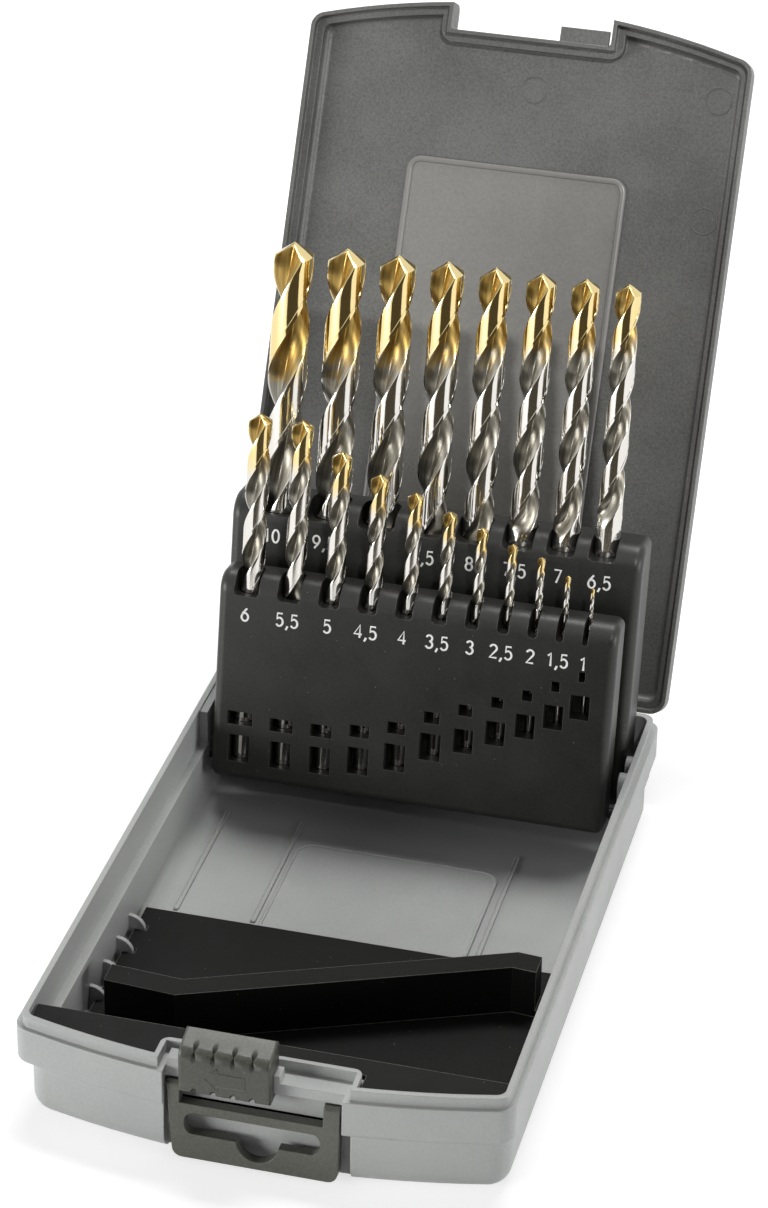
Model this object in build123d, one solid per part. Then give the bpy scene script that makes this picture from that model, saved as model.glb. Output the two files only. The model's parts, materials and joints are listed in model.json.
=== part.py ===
from build123d import *
import math
import os

# A hinged case for nineteen twist drills, 1 to 10 mm in half millimetres.
# X runs to the right, Y to the back (the lid hinge), Z up. Millimetres.
# The origin is the centre of the straight-sided part of the underside.

# ---- Base tub: outer sizes ----
HALF_WIDTH = 58.5          # of the band round the top
REAR_Y = 85.0
FRONT_Y = -92.2            # at the middle of the bowed front
BOW_RADIUS = 207.0
CORNER_R = 4.0
SHOULDER_Z = 24.0          # the ledge that the closed lid rests on
LIP_TOP_Z = 26.7
BAND_BOTTOM_Z = 14.3
LOWER_LEFT_X = 3.3 - HALF_WIDTH    # the tub steps in below the band on the left
LOWER_RIGHT_X = HALF_WIDTH - 1.0   # and is nearly flush on the right
LOWER_REAR_Y = REAR_Y - 1.0
LOWER_FRONT_Y = FRONT_Y + 1.0
LOWER_CORNER_R = 5.7
BOTTOM_EDGE_R = 5.5
RIGHT_STEP_Y = REAR_Y - 12.5       # behind this the right side steps in too
RIGHT_STEP_X = HALF_WIDTH - 3.3
RIGHT_STEP_Z = 16.0

# ---- Base tub: walls and floor ----
LIP_OUTSET = 1.3           # shoulder width
LIP_INNER = 2.7            # outside of the band to the inside of the lip
LOWER_WALL = 1.5
LEDGE_Z = 16.7
FLOOR_Z = 2.2
PANEL_Z = 2.6
PANEL_X = (-24.0, 27.8)
PANEL_Y = (-4.0, 36.5)
RIB_LINES_X = (-46.0, -26.2, 30.6)
RIB_WIDTH = 1.1
RIB_RISE = 0.35
INNER_EDGE_R = 1.5

# ---- Fins on the left wall, which space the tip tray ----
FIN_Y = (-13.1, -23.0, -33.2, -43.6)
FIN_R = 4.2
FIN_THICK = 1.2
FIN_Z = 4.2
FIN_GAP = 0.4

# ---- Recess in the front for the latch and the hanger ----
RECESS_HALF = 20.9
RECESS_WALL = 2.6
RECESS_INNER_Y = FRONT_Y + 10.5
RECESS_LIP = 1.2
RAIL_FRONT_Y = FRONT_Y + 3.8       # the bar that the latch slides along
RAIL_BOTTOM_Z = 21.2
BOSS_TOP_Z = 26.0
BOSS_X = (-20.6, 5.8)
BOSS_REAR_Y = FRONT_Y + 7.7
BACKWALL_Y = FRONT_Y + 5.6
BACKWALL_THICK = 1.5
BACKWALL_FOOT_R = 1.2
BACK_SLOT_X = (-18.6, 16.2)
BACK_SLOT_Z = (10.0, 15.2)

# ---- Lid ----
LID_RIM_Z = 24.1
LID_TOP_Z = 32.6
LID_WALL = 1.8
LID_TOP_EDGE_R = 2.5
SKIRT_THICK = 1.0
SKIRT_TOP_Z = 27.0
RIM_WIDTH = 2.9
NOTCH_HALF = 21.2
NOTCH_Y = FRONT_Y + 8.0
NOTCH_LIP = 3.0
TAB_X = (7.7, 20.5)
TAB_Y = FRONT_Y + 4.2
TAB_Z = (24.3, 26.0)
OPEN_ANGLE = 117.85        # from closed to fully open

# ---- Lid hinge ----
HINGE_Y = REAR_Y + 1.85
HINGE_Z = 22.55
KNUCKLE_R = 2.2
HINGE_STUB_R = 1.0
PIVOT_FIT = 0.05           # radial, for every pin in its hole
KNUCKLE_GAP = 0.3
HINGE_CENTRES_X = (-35.0, 35.0)
LID_KNUCKLE_W = 6.0
BASE_KNUCKLE_W = 4.0
STUB_LENGTH = 2.6

# ---- Racks: both lean back by this angle when the case is open ----
LEAN = 9.93
FRONT_AXIS = (52.54, 10.62)    # y, z of the drill line at the foot
REAR_AXIS = (69.9, 9.3)
FRONT_HALF = HALF_WIDTH - 7.2
REAR_HALF = HALF_WIDTH - 5.3
FRONT_DEPTH = 11.0
REAR_DEPTH = 14.4
FRONT_HEIGHT = 56.0
REAR_HEIGHT = 69.7
FRONT_SLOT_S = FRONT_HEIGHT - 5.7      # where the open slot at the top begins
REAR_SLOT_S = REAR_HEIGHT - 4.4
FRONT_BROW_R = 5.0             # the broad round of the top front edge
REAR_BROW_R = 6.0
RACK_EDGE_R = 2.4
RACK_END_R = 2.2
BORE_CLEARANCE = 0.4           # on the diameter
WINDOW_RISE = 0.9              # sill of a window above the drill's foot
WINDOW_GAP = 10.1              # lower sill to upper sill
PIN_R = 1.4
PIN_LENGTH = 2.9
FRONT_STANDOFF = REAR_HALF - FRONT_HALF    # from the front rack's ends to its bearings
FRONT_PIN = (4.0, 2.6)         # local y (back is plus) and height
REAR_PIN = (-5.0, 7.25)
POST_X = (REAR_HALF + 0.25, REAR_HALF + 3.2)
POST_WIDTH = 5.0
POST_TOPS = (24.8, 24.0)
BLOCK_Y = 54.0
PAD_X = 1.6 - HALF_WIDTH

# ---- Drills: diameter, foot height, length, fluted length ----
FRONT_ENDS = (7.3, 8.2)        # from the rack's ends to the first and last drill
FRONT_DRILLS = (
    (6.0, 4.3, 93.0, 57.0),
    (5.5, 4.0, 93.0, 57.0),
    (5.0, 4.3, 86.0, 52.0),
    (4.5, 5.8, 80.0, 47.0),
    (4.0, 8.3, 74.0, 43.0),
    (3.5, 12.6, 66.0, 37.5),
    (3.0, 16.0, 59.5, 33.0),
    (2.5, 19.4, 53.0, 28.5),
    (2.0, 22.5, 47.5, 23.5),
    (1.5, 26.1, 40.0, 18.0),
    (1.0, 29.7, 34.0, 12.0),
)
REAR_ENDS = (11.0, 10.4)
REAR_TIP_S = 135.6
REAR_DRILLS = (
    (10.0, 133.0, 87.0),
    (9.5, 125.0, 81.0),
    (9.0, 125.0, 81.0),
    (8.5, 117.0, 75.0),
    (8.0, 117.0, 75.0),
    (7.5, 109.0, 69.0),
    (7.0, 109.0, 69.0),
    (6.5, 101.0, 63.0),
)
HELIX_PITCH = 5.7              # in diameters
TWIST_STEP = 40.0              # degrees between two rings of the flutes
POINT_ANGLE = 118.0
# One half of the fluted section: angle and radius (in drill radii).
HALF_SECTION = ((0.0, 1.0), (34.0, 1.0), (68.0, 0.98), (100.0, 0.52), (138.0, 0.42))

# ---- Tip tray: the black moulding that stops the drill points ----
TRAY_REAR_Y = -4.4
TRAY_LEFT_X = 6.4 - HALF_WIDTH
TRAY_RIGHT_X = HALF_WIDTH - 4.3
PLATEAU_Z = 5.0
TROUGH_Z = 3.2
TROUGH_LEFT_X = 8.0 - HALF_WIDTH
RIDGE_Z = 16.2
RIDGE_FRONT = ((10.7 - HALF_WIDTH, -51.0), (-30.0, -52.3), (43.7, -19.9), (HALF_WIDTH - 8.9, -20.4))
RIDGE_WIDTH = 6.5
DECK_Z = 25.0
DECK_REAR_Y = FRONT_Y + 16.7
TRAY_GAP = 0.4
LEG_X = (9.5 - HALF_WIDTH, HALF_WIDTH - 8.0)
LEG_FRONT_Y = FRONT_Y + 11.2
TRAY_SKIN = 1.5

# ---- Latch slider ----
LATCH_X = (-17.0, 4.5)
LATCH_FRONT_Y = FRONT_Y + 0.2
LATCH_REAR_Y = BOSS_REAR_Y
LATCH_BOTTOM_Z = 19.9
LATCH_BEVEL_Z = 31.2
LATCH_TOP_Z = 33.4
LATCH_GAP = 0.2
LATCH_HOOK_Y = RAIL_FRONT_Y + 1.2
LATCH_BROW_R = 2.0             # the round over the top front edge
LATCH_EDGE_R = 0.8
GROOVES_X = (-13.3, -8.8, -4.2, 0.3)
GROOVE_R = 0.65
GROOVE_REACH = (2.4, 0.8)      # along each face, at the top edge and the bottom edge

# ---- Hanger handle ----
HANGER_AXIS = (RAIL_FRONT_Y, 19.4)     # y, z
HANGER_LEAN = 5.5
HANGER_THICK = 2.8
HANGER_DROP = 18.3
HANGER_TOP_X = (-20.3, 20.1)
HANGER_FOOT_X = (-18.5, 20.1)
ARM_INNER_X = (-17.3, 16.3)
CROSSBAR_DROP = (4.1, 6.4)     # below the axis
HANG_SLOT_DROP = (6.4, 11.9)
HANG_SLOT_X = (-16.0, 15.8)
HANG_HOLE = (1.2, 11.4, 5.0)   # x, drop of the centre, radius
HANGER_PIN_R = 0.9


def block(x0, x1, y0, y1, z0, z1):
    """An axis-aligned box from its limits."""
    centre = Pos((x0 + x1) / 2, (y0 + y1) / 2, (z0 + z1) / 2)
    return centre * Box(x1 - x0, y1 - y0, z1 - z0)


def rod_x(x0, x1, y, z, radius):
    """A cylinder along X from x0 to x1."""
    return Pos((x0 + x1) / 2, y, z) * Rot(0, 90, 0) * Cylinder(radius, x1 - x0)


def bowed_outline(left, right, rear, front, radius):
    """A rectangle whose front edge is bowed outwards, with round corners."""
    front_left = (left, front + left ** 2 / (2 * BOW_RADIUS))
    front_right = (right, front + right ** 2 / (2 * BOW_RADIUS))
    edges = [
        Line((left, rear), (right, rear)),
        Line((right, rear), front_right),
        ThreePointArc(front_right, (0, front), front_left),
        Line(front_left, (left, rear)),
    ]
    face = make_face(edges)
    return fillet(face.vertices(), radius)


def bowed_solid(left, right, rear, front, radius, z0, z1):
    """The bowed outline made into a slab between two heights."""
    return extrude(Pos(0, 0, z0) * bowed_outline(left, right, rear, front, radius), z1 - z0)


def inset_slab(inset, radius, z0, z1):
    """The band's outline moved in by a distance, as a slab."""
    return bowed_solid(
        -HALF_WIDTH + inset, HALF_WIDTH - inset, REAR_Y - inset, FRONT_Y + inset, radius, z0, z1
    )


def edges_at(solid, z):
    """The edges of a solid that lie at one height."""
    return solid.edges().filter_by_position(Axis.Z, z - 0.01, z + 0.01)


# ---------------------------------------------------------------- base tub

def tub_outside():
    """The tub before it is hollowed: band, stepped lower part and lip."""
    lower = bowed_solid(
        LOWER_LEFT_X, LOWER_RIGHT_X, LOWER_REAR_Y, LOWER_FRONT_Y, LOWER_CORNER_R, 0, BAND_BOTTOM_Z + 1
    )
    lower = fillet(edges_at(lower, 0), BOTTOM_EDGE_R)
    band = inset_slab(0, CORNER_R, BAND_BOTTOM_Z, SHOULDER_Z)
    band = fillet(edges_at(band, BAND_BOTTOM_Z), 1.2)
    lip = inset_slab(LIP_OUTSET, CORNER_R - 1, SHOULDER_Z - 1, LIP_TOP_Z)
    outside = lower + band + lip
    return outside - block(RIGHT_STEP_X, HALF_WIDTH + 1, RIGHT_STEP_Y, REAR_Y + 1, -1, RIGHT_STEP_Z)


def tub_shell():
    """The open tub with its ledge and floor."""
    inner_right = HALF_WIDTH - LIP_INNER
    inner_front = LOWER_FRONT_Y + LOWER_WALL
    upper_room = inset_slab(LIP_INNER, CORNER_R - 1.5, LEDGE_Z, LIP_TOP_Z + 1)
    lower_room = bowed_solid(
        LOWER_LEFT_X + LOWER_WALL, inner_right, REAR_Y - LIP_INNER + 0.1, inner_front,
        LOWER_CORNER_R - 2.7, FLOOR_Z, LEDGE_Z + 1,
    )
    lower_room = fillet(edges_at(lower_room, FLOOR_Z), INNER_EDGE_R)
    wall_x = RIGHT_STEP_X - LOWER_WALL
    lower_room -= block(wall_x, inner_right + 1, RIGHT_STEP_Y - LOWER_WALL, REAR_Y, 0, RIGHT_STEP_Z + 1.2)
    return tub_outside() - upper_room - lower_room


def floor_details():
    """The raised panel and the low lines moulded on the floor."""
    panel = block(*PANEL_X, *PANEL_Y, FLOOR_Z - 0.2, PANEL_Z)
    panel = fillet(panel.edges().filter_by(Axis.Z), 4)
    for x in RIB_LINES_X:
        x0, x1 = x - RIB_WIDTH / 2, x + RIB_WIDTH / 2
        panel += block(x0, x1, 0, 46, FLOOR_Z - 0.2, FLOOR_Z + RIB_RISE)
    return panel


def rack_bearings():
    """The block on the left and the two posts on the right that carry the racks."""
    wall_x = LOWER_LEFT_X + LOWER_WALL
    rim_x, rim_y = LIP_INNER - 0.1 - HALF_WIDTH, REAR_Y - LIP_INNER + 0.1
    left = block(rim_x, wall_x - 0.1, BLOCK_Y, rim_y, LEDGE_Z - 1, LIP_TOP_Z - 0.5)
    pins = (pivot_point(FRONT_AXIS, FRONT_PIN), pivot_point(REAR_AXIS, REAR_PIN))
    pad_y, pad_z = pins[0]
    left += block(PAD_X, wall_x - 0.5, pad_y - 4, pad_y + 4, pad_z - 4, BAND_BOTTOM_Z + 1)
    bearings = left
    for (y, z), top in zip(pins, POST_TOPS):
        x0, x1 = POST_X
        post = block(x0, x1, y - POST_WIDTH / 2, y + POST_WIDTH / 2, FLOOR_Z - 0.2, top - POST_WIDTH / 2)
        post += rod_x(x0, x1, y, top - POST_WIDTH / 2, POST_WIDTH / 2)
        bearings += post
    return bearings


def pivot_point(axis_foot, pin):
    """Where a rack's pivot lies in y and z, from its place on the rack."""
    y0, z0 = axis_foot
    local_y, height = pin
    lean = math.radians(LEAN)
    y = y0 + local_y * math.cos(lean) + height * math.sin(lean)
    z = z0 - local_y * math.sin(lean) + height * math.cos(lean)
    return y, z


def pivot_holes():
    """The holes for the pivot pins of both racks."""
    holes = []
    hole_r = PIN_R + PIVOT_FIT
    depth_left = PIN_LENGTH + 0.4
    for axis_foot, pin, half in (
        (FRONT_AXIS, FRONT_PIN, FRONT_HALF + FRONT_STANDOFF),
        (REAR_AXIS, REAR_PIN, REAR_HALF),
    ):
        y, z = pivot_point(axis_foot, pin)
        holes.append(rod_x(-half - depth_left, -half + 1, y, z, hole_r))
        holes.append(rod_x(half - 1, half + depth_left, y, z, hole_r))
    return holes


def recess_housing():
    """The walls round the latch recess, the rail and the boss, before cutting."""
    outer = RECESS_HALF + RECESS_WALL
    solid = block(-outer, outer, FRONT_Y + 2.9, RECESS_INNER_Y, 0, SHOULDER_Z)
    lip = block(-outer, outer, FRONT_Y + 2.9, RECESS_INNER_Y, SHOULDER_Z - 1, LIP_TOP_Z)
    lip = fillet(lip.edges().filter_by(Axis.Z).sort_by(Axis.Y)[-2:], 2.2)
    inner = outer - RECESS_LIP
    lip -= block(-inner, inner, FRONT_Y - 1, RECESS_INNER_Y - RECESS_LIP, SHOULDER_Z, LIP_TOP_Z + 1)
    return (solid + lip) & tub_outside()


def recess_cuts():
    """What is taken out of the front for the latch and the hanger."""
    front = FRONT_Y - 1
    inner = RECESS_HALF + RECESS_WALL - RECESS_LIP
    above = block(-inner, inner, front, RECESS_INNER_Y - RECESS_LIP, SHOULDER_Z, LIP_TOP_Z + 1)
    rail = block(-RECESS_HALF, RECESS_HALF, front, RAIL_FRONT_Y, RAIL_BOTTOM_Z, SHOULDER_Z + 1)
    below = block(-RECESS_HALF, RECESS_HALF, front, BACKWALL_Y, -1, RAIL_BOTTOM_Z)
    below += block(-RECESS_HALF, RECESS_HALF + 1.8, front, BACKWALL_Y, -1, BAND_BOTTOM_Z)
    behind = block(
        -RECESS_HALF, RECESS_HALF, BACKWALL_Y + BACKWALL_THICK, RECESS_INNER_Y + 1,
        FLOOR_Z, RAIL_BOTTOM_Z - 1.2,
    )
    slot = block(*BACK_SLOT_X, BACKWALL_Y - 1, BACKWALL_Y + BACKWALL_THICK + 1, *BACK_SLOT_Z)
    slot = fillet(slot.edges().filter_by(Axis.Y), 0.8)
    return [above, rail, below, behind, slot]


def hinge_knuckles(lengths, spacing, radius):
    """Barrels on the hinge axis, one group at each end of the rear edge."""
    barrels = []
    for centre in HINGE_CENTRES_X:
        for offset in spacing:
            x = centre + offset
            barrels.append((x - lengths / 2, x + lengths / 2, radius))
    return barrels


BASE_OFFSETS = (
    -(LID_KNUCKLE_W + BASE_KNUCKLE_W) / 2 - KNUCKLE_GAP,
    (LID_KNUCKLE_W + BASE_KNUCKLE_W) / 2 + KNUCKLE_GAP,
)


def base_tub():
    """The light grey base of the case."""
    tub = tub_shell() + floor_details() + rack_bearings()
    for y in FIN_Y:
        fin = Pos(LOWER_LEFT_X + LOWER_WALL, y, FIN_Z) * Rot(90, 0, 0) * Cylinder(FIN_R, FIN_THICK)
        fin -= block(-HALF_WIDTH - 9, LOWER_LEFT_X + LOWER_WALL - 0.1, y - 2, y + 2, -9, 29)
        fin -= block(-HALF_WIDTH, HALF_WIDTH, y - 2, y + 2, -9, FLOOR_Z - 0.1)
        tub += fin
    tub += recess_housing()
    for cut in recess_cuts():
        tub -= cut
    at_wall = tub.edges().filter_by_position(Axis.Y, BACKWALL_Y - 0.01, BACKWALL_Y + 0.01)
    tub = fillet(at_wall.filter_by_position(Axis.Z, -0.5, 0.5), BACKWALL_FOOT_R)
    tub += block(*BOSS_X, RAIL_FRONT_Y, BOSS_REAR_Y, SHOULDER_Z - 0.5, BOSS_TOP_Z)
    for x0, x1, radius in hinge_knuckles(BASE_KNUCKLE_W, BASE_OFFSETS, KNUCKLE_R):
        tub += rod_x(x0, x1, HINGE_Y, HINGE_Z, radius)
        tub += block(x0, x1, REAR_Y - 0.5, HINGE_Y, HINGE_Z - 2 * radius, HINGE_Z)
    for x0, x1, radius in hinge_knuckles(LID_KNUCKLE_W, (0,), KNUCKLE_R + 0.3):
        tub -= rod_x(x0 - KNUCKLE_GAP, x1 + KNUCKLE_GAP, HINGE_Y, HINGE_Z, radius)
    reach = LID_KNUCKLE_W / 2 + STUB_LENGTH + KNUCKLE_GAP
    for centre in HINGE_CENTRES_X:
        tub -= rod_x(centre - reach, centre + reach, HINGE_Y, HINGE_Z, HINGE_STUB_R + PIVOT_FIT)
    for hole in pivot_holes():
        tub -= hole
    y, z = HANGER_AXIS
    pin_end = RECESS_HALF + 1.6
    tub -= rod_x(-pin_end, pin_end, y, z, HANGER_PIN_R + PIVOT_FIT)
    return tub


# ---------------------------------------------------------------- lid

def lid():
    """The dark lid, modelled closed and then swung open about its hinge."""
    shell = inset_slab(0, CORNER_R, LID_RIM_Z, LID_TOP_Z)
    shell = fillet(edges_at(shell, LID_TOP_Z), LID_TOP_EDGE_R)
    skirt_half = NOTCH_HALF + SKIRT_THICK
    skirt_room = inset_slab(SKIRT_THICK, CORNER_R - 0.8, LID_RIM_Z - 1, SKIRT_TOP_Z)
    skirt_room -= block(
        -skirt_half, skirt_half, FRONT_Y - 1, NOTCH_Y + SKIRT_THICK, LID_RIM_Z - 2, SKIRT_TOP_Z + 1
    )
    room = inset_slab(RIM_WIDTH, CORNER_R - 1.5, SKIRT_TOP_Z - 1, LID_TOP_Z - LID_WALL)
    room = fillet(edges_at(room, LID_TOP_Z - LID_WALL), 1.8)
    lip_half = NOTCH_HALF + NOTCH_LIP
    collar = block(-lip_half, lip_half, FRONT_Y - 1, NOTCH_Y + NOTCH_LIP, SKIRT_TOP_Z, LID_TOP_Z)
    collar = fillet(collar.edges().filter_by(Axis.Z).sort_by(Axis.Y)[-2:], 3.5)
    room -= collar
    shell -= skirt_room
    shell -= room - block(-99, 99, -99, 99, SKIRT_TOP_Z - 2, SKIRT_TOP_Z)
    notch = block(-NOTCH_HALF, NOTCH_HALF, FRONT_Y - 1, NOTCH_Y, LID_RIM_Z - 1, LID_TOP_Z + 1)
    notch = fillet(notch.edges().filter_by(Axis.Z).sort_by(Axis.Y)[-2:], 1.0)
    shell -= notch
    shell += block(*TAB_X, TAB_Y, NOTCH_Y + 0.5, *TAB_Z)
    shell += lid_panel() + lid_hinge()
    turn = Pos(0, HINGE_Y, HINGE_Z) * Rot(-OPEN_ANGLE, 0, 0) * Pos(0, -HINGE_Y, -HINGE_Z)
    return turn * shell


def lid_panel():
    """The slightly raised panel on the inside of the lid."""
    inside = LID_TOP_Z - LID_WALL
    panel = block(-28.6, 28.6, -50.3, 62.0, inside - 0.35, inside + 0.2)
    return fillet(panel.edges().filter_by(Axis.Z), 3)


def lid_hinge():
    """The lid's barrels with their stub pins, and the webs that carry them."""
    parts = []
    for x0, x1, radius in hinge_knuckles(LID_KNUCKLE_W, (0,), KNUCKLE_R):
        barrel = rod_x(x0, x1, HINGE_Y, HINGE_Z, radius)
        barrel += block(x0, x1, REAR_Y + 0.15, HINGE_Y + radius, HINGE_Z, LID_RIM_Z + 4)
        barrel += block(x0, x1, REAR_Y - 0.5, HINGE_Y, LID_RIM_Z, LID_RIM_Z + 4)
        barrel += rod_x(x0 - STUB_LENGTH, x1 + STUB_LENGTH, HINGE_Y, HINGE_Z, HINGE_STUB_R)
        parts.append(barrel)
    return parts[0] + parts[1]


# ---------------------------------------------------------------- racks and drills

def stand(axis_foot, solid):
    """Puts something modelled upright on a rack's own axis into the open case."""
    y, z = axis_foot
    return Pos(0, y, z) * Rot(-LEAN, 0, 0) * solid


def centres(half, ends, diameters):
    """Places drills side by side along a rack so that every gap between two is the same."""
    first, last = ends[0] - half, half - ends[1]
    steel = sum(diameters) - (diameters[0] + diameters[-1]) / 2
    gap = (last - first - steel) / (len(diameters) - 1)
    xs = [first]
    for before, after in zip(diameters, diameters[1:]):
        xs.append(xs[-1] + (before + after) / 2 + gap)
    return xs


FRONT_SIZES = [drill[0] for drill in FRONT_DRILLS]
REAR_SIZES = [drill[0] for drill in REAR_DRILLS]
FRONT_X = centres(FRONT_HALF, FRONT_ENDS, FRONT_SIZES)
REAR_X = centres(REAR_HALF, REAR_ENDS, REAR_SIZES)
REAR_FEET = [REAR_TIP_S - drill[1] for drill in REAR_DRILLS]


def rack_body(half, depth, height, brow):
    """The plain block of a rack, standing on its foot, with its edges rounded."""
    body = block(-half, half, -depth / 2, depth / 2, 0, height)
    body = fillet(edges_at(body, height).filter_by(Axis.X).sort_by(Axis.Y)[0], brow)
    body = fillet(edges_at(body, height).filter_by(Axis.X).sort_by(Axis.Y)[-1], RACK_EDGE_R)
    body = fillet(edges_at(body, 0).filter_by(Axis.X), RACK_EDGE_R)
    ends = body.faces().filter_by(Axis.X)
    return fillet(ends.edges(), RACK_END_R)


def bore(x, diameter, foot, top, slot_from, depth):
    """A drill's bore with its open slot at the top of the front face."""
    width = diameter + BORE_CLEARANCE
    hole = Pos(x, 0, (foot + top + 1) / 2) * Cylinder(width / 2, top + 1 - foot)
    slot = block(x - width / 2, x + width / 2, -depth, 0, slot_from, top + 1)
    slot = fillet(edges_at(slot, slot_from).filter_by(Axis.Y), min(1.1, 0.45 * width))
    return hole + slot


def pivot_pins(half, standoff, pin):
    """The two pivot pins of a rack, which stands off from its bearings."""
    local_y, height = pin
    end = half + standoff + PIN_LENGTH
    left = rod_x(-end, -half + 1, local_y, height, PIN_R)
    right = rod_x(half - 1, end, local_y, height, PIN_R)
    return left + right


def front_rack():
    """The low rack for the eleven drills from 1 to 6 mm."""
    rack = rack_body(FRONT_HALF, FRONT_DEPTH, FRONT_HEIGHT, FRONT_BROW_R)
    for x, (diameter, foot, _, _) in zip(FRONT_X, FRONT_DRILLS):
        rack -= bore(x, diameter, foot, FRONT_HEIGHT, FRONT_SLOT_S, FRONT_DEPTH)
        large = diameter > 3.2
        width = 5.5 if large else 5.0
        tall = 7.3 if large else 6.4
        sill = foot + WINDOW_RISE
        rack -= block(x - width / 2, x + width / 2, -FRONT_DEPTH, 0, sill, sill + tall)
        narrow = (diameter + 0.6) / 2
        upper = sill + WINDOW_GAP
        rack -= block(x - narrow, x + narrow, -FRONT_DEPTH, 0, upper, upper + 2.4 + diameter / 5)
    return stand(FRONT_AXIS, rack + pivot_pins(FRONT_HALF, FRONT_STANDOFF, FRONT_PIN))


def rear_rack():
    """The tall rack for the eight drills from 6.5 to 10 mm."""
    rack = rack_body(REAR_HALF, REAR_DEPTH, REAR_HEIGHT, REAR_BROW_R)
    for x, foot, diameter in zip(REAR_X, REAR_FEET, REAR_SIZES):
        rack -= bore(x, diameter, foot, REAR_HEIGHT, REAR_SLOT_S, REAR_DEPTH)
    return stand(REAR_AXIS, rack + pivot_pins(REAR_HALF, 0, REAR_PIN))


def drill_rings(radius, length, flute):
    """Rings of points up a twist drill: round shank, run-out, flutes and lips."""
    half = list(HALF_SECTION)
    section = half + [(angle + 180, reach) for angle, reach in half]
    pitch = HELIX_PITCH * 2 * radius
    start = length - flute
    steps = math.ceil(flute / pitch * 360 / TWIST_STEP)
    cone = radius / math.tan(math.radians(POINT_ANGLE / 2))
    rings = [[(radius, angle, 0) for angle, _ in section]]
    for step in range(steps + 1):
        share = step / steps
        z = start + share * (flute - cone)
        twist = 360 * share * (flute - cone) / pitch
        deep = min(1, step / 2)
        ring = []
        for angle, reach in section:
            r = radius * (1 - deep * (1 - reach))
            rise = cone - r / math.tan(math.radians(POINT_ANGLE / 2)) if step == steps else 0
            ring.append((r, angle + twist, z + rise))
        rings.append(ring)
    return rings


def drill_solid(diameter, length, flute):
    """A twist drill with two right-hand flutes, as a closed faceted solid."""
    rings = []
    for ring in drill_rings(diameter / 2, length, flute):
        points = []
        for r, angle, z in ring:
            a = math.radians(angle)
            points.append(Vector(r * math.cos(a), r * math.sin(a), z))
        rings.append(points)
    count = len(rings[0])
    triangles = []
    for low, high in zip(rings, rings[1:]):
        for i in range(count):
            j = (i + 1) % count
            triangles.append((low[i], low[j], high[j]))
            triangles.append((low[i], high[j], high[i]))
    apex = Vector(0, 0, length)
    for i in range(count):
        triangles.append((rings[-1][i], rings[-1][(i + 1) % count], apex))
    faces = [Face(Wire.make_polygon(list(points), close=True)) for points in triangles]
    faces.append(Face(Wire.make_polygon(rings[0], close=True)))
    return Solid(Shell(faces))


def drill_name(diameter):
    return "drill_" + f"{diameter:.1f}".replace(".", "_")


def drills():
    """Every drill, named by its size and standing in its rack."""
    named = {}
    for x, (diameter, foot, length, flute) in zip(FRONT_X, FRONT_DRILLS):
        solid = Pos(x, 0, foot) * drill_solid(diameter, length, flute)
        named[drill_name(diameter)] = stand(FRONT_AXIS, solid)
    for x, foot, (diameter, length, flute) in zip(REAR_X, REAR_FEET, REAR_DRILLS):
        solid = Pos(x, 0, foot) * drill_solid(diameter, length, flute)
        named[drill_name(diameter)] = stand(REAR_AXIS, solid)
    return named


# ---------------------------------------------------------------- tip tray

def ridge_outline(inset):
    """The ridge in plan: its bent front edge and the same edge further back."""
    front = list(RIDGE_FRONT)
    back = [(x, y + RIDGE_WIDTH) for x, y in reversed(front)]
    face = make_face(Polyline(*front, *back, close=True))
    return offset(face, -inset) if inset else face


def tip_tray():
    """The black moulding that the folded drill points lie against."""
    plateau = block(TRAY_LEFT_X, TRAY_RIGHT_X, RIDGE_FRONT[1][1], TRAY_REAR_Y, FLOOR_Z, PLATEAU_Z)
    in_front = [(-60, -90), (60, -90), (60, RIDGE_FRONT[3][1]), *reversed(RIDGE_FRONT),
                (-60, RIDGE_FRONT[0][1])]
    plateau -= extrude(make_face(Polyline(*in_front, close=True)), 50)
    trough = block(TROUGH_LEFT_X, TRAY_RIGHT_X, DECK_REAR_Y - 1, -15, FLOOR_Z, TROUGH_Z)
    ridge = extrude(Pos(0, 0, FLOOR_Z) * ridge_outline(0), RIDGE_Z - FLOOR_Z)
    ridge -= extrude(Pos(0, 0, FLOOR_Z - 1) * ridge_outline(TRAY_SKIN), RIDGE_Z - FLOOR_Z + 1 - TRAY_SKIN)
    tray = plateau + trough + ridge

    inset = LIP_INNER + TRAY_GAP
    deck = inset_slab(inset, 2.0, DECK_Z - TRAY_SKIN, DECK_Z)
    deck -= block(-99, 99, DECK_REAR_Y, 99, 0, 99)
    clear = RECESS_HALF + RECESS_WALL + TRAY_GAP
    deck -= block(-clear, clear, -99, RECESS_INNER_Y + TRAY_GAP, 0, 99)
    wall = block(
        LOWER_LEFT_X + LOWER_WALL + TRAY_GAP, TRAY_RIGHT_X, DECK_REAR_Y - TRAY_SKIN, DECK_REAR_Y,
        FLOOR_Z, DECK_Z,
    )
    wall -= block(-99, TROUGH_LEFT_X, -99, 99, 0, FLOOR_Z + 2)
    tray += deck + wall
    for x in LEG_X:
        tray += block(x - TRAY_SKIN, x, LEG_FRONT_Y, DECK_REAR_Y, FLOOR_Z, DECK_Z)
    for y in FIN_Y:
        reach = LOWER_LEFT_X + LOWER_WALL + FIN_R + FIN_GAP
        half = FIN_THICK / 2 + FIN_GAP
        tray -= block(-99, reach, y - half, y + half, 0, FIN_Z + FIN_R + FIN_GAP)
    return tray


# ---------------------------------------------------------------- latch and hanger

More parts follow.
